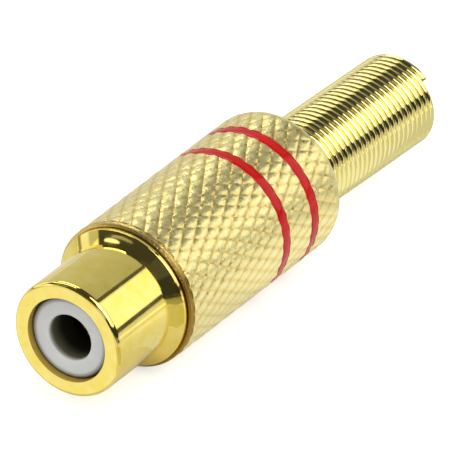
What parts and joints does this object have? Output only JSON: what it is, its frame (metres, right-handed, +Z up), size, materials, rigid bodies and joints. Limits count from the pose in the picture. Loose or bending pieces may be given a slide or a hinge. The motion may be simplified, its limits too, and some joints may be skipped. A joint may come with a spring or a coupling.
{
  "type": "rca socket",
  "caption": "Inline phono socket for a cable: gold contact tube with flange, screwed knurled barrel with red bands, and a wire spring as cable protector.",
  "frame": {"origin": "centre of the mating face, on the axis of the contact tube", "axes": "+Y along the axis, from the mating face to the cable; +Z up; the mating face looks along -Y"},
  "size_m": [0.0104, 0.0393, 0.0104],
  "materials": {
    "bright_gold": "gold plated, polished",
    "grey_plastic": "moulded, matte",
    "contact_gold": "gold plated",
    "tag_gold": "gold plated sheet",
    "dark_plastic": "extruded, satin",
    "knurled_gold": "gold plated over diamond knurling",
    "red_lacquer": "glossy lacquer",
    "spring_gold": "gold plated spring wire, bright"
  },
  "bodies": {
    "socket": {"socket_shell": "bright_gold", "insulator": "grey_plastic", "centre_contact": "contact_gold", "ground_tag": "tag_gold"},
    "sleeve": {"insulating_sleeve": "dark_plastic"},
    "barrel": {"barrel": "knurled_gold", "front_band": "red_lacquer", "rear_band": "red_lacquer", "spring": "spring_gold"}
  },
  "joints": [
    {"name": "barrel_travel", "type": "slide", "parent": "socket", "child": "sleeve", "axis": [0, 1, 0], "range_m": [0, 0.00375]},
    {"name": "barrel_turn", "type": "hinge", "parent": "sleeve", "child": "barrel", "pos_m": [0, 0, 0], "axis": [0, 1, 0], "range_deg": [0, 1800]}
  ],
  "couplings": [
    {"joint": "barrel_travel", "follows": "barrel_turn", "m_per_rad": 0.00011936}
  ]
}
